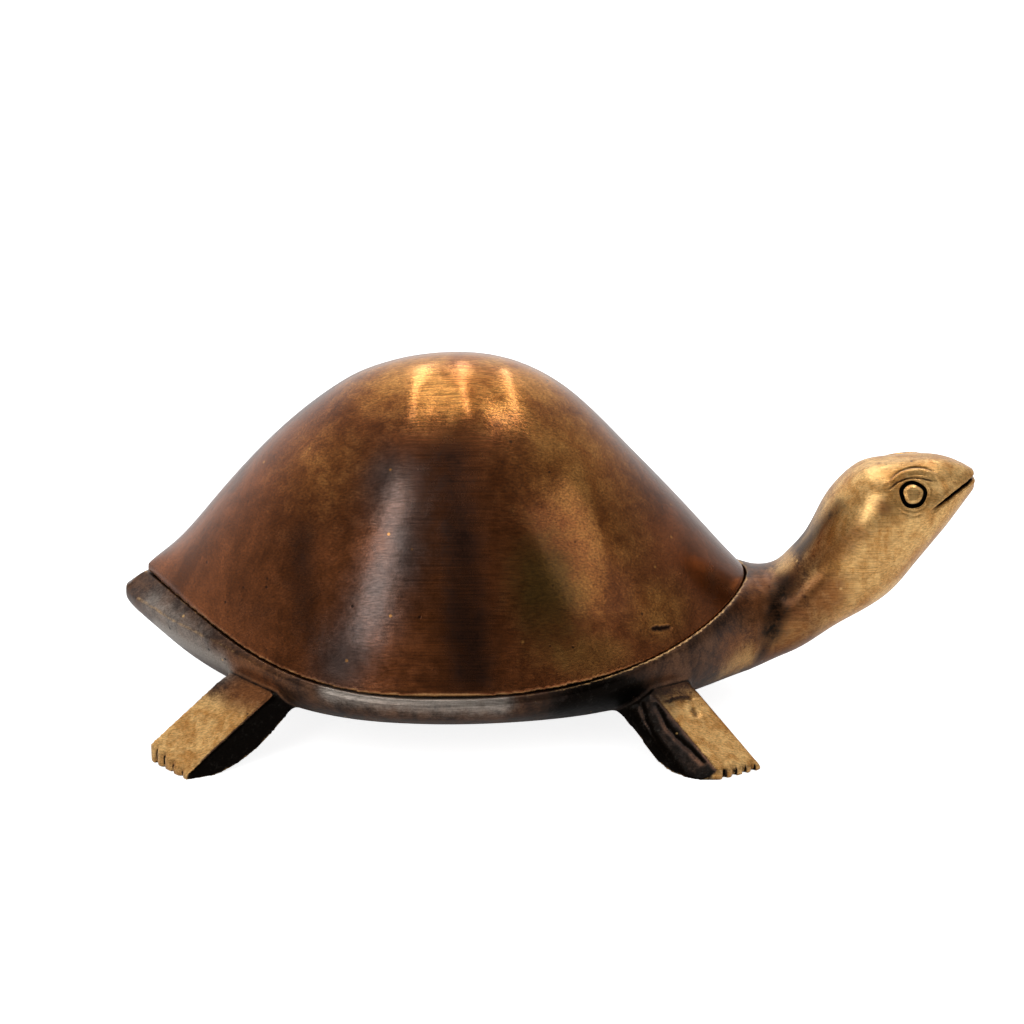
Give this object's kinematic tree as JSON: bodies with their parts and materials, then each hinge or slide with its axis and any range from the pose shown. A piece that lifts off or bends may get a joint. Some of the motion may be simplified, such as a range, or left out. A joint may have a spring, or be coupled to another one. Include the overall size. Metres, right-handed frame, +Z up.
{
  "type": "turtle figurine",
  "caption": "Cast and patinated brass turtle figurine with a domed lift-off shell over a shallow bowl body, flat-topped splayed legs and a raised neck and head.",
  "frame": {"origin": "on the floor, midway between the tail tip and the nose and midway between the feet", "axes": "+X towards the head, +Y towards the turtle's left side, +Z up"},
  "size_m": [0.3045, 0.1562, 0.1274],
  "materials": {
    "brown_patina_brass": "brown chemical patina, hand rubbed and waxed",
    "dark_patina_brass": "near-black oxide patina in the recesses",
    "rubbed_brass": "filed and polished bright through the patina"
  },
  "bodies": {
    "base": {"body_bowl": "dark_patina_brass", "neck_and_head": "rubbed_brass", "front_right_leg": "rubbed_brass", "front_left_leg": "rubbed_brass", "rear_right_leg": "rubbed_brass", "rear_left_leg": "rubbed_brass"},
    "lid": {"shell_lid": "brown_patina_brass"}
  },
  "joints": [
    {"name": "shell_lift", "type": "slide", "parent": "base", "child": "lid", "axis": [0, 0, 1], "range_m": [0, 0.08]}
  ]
}
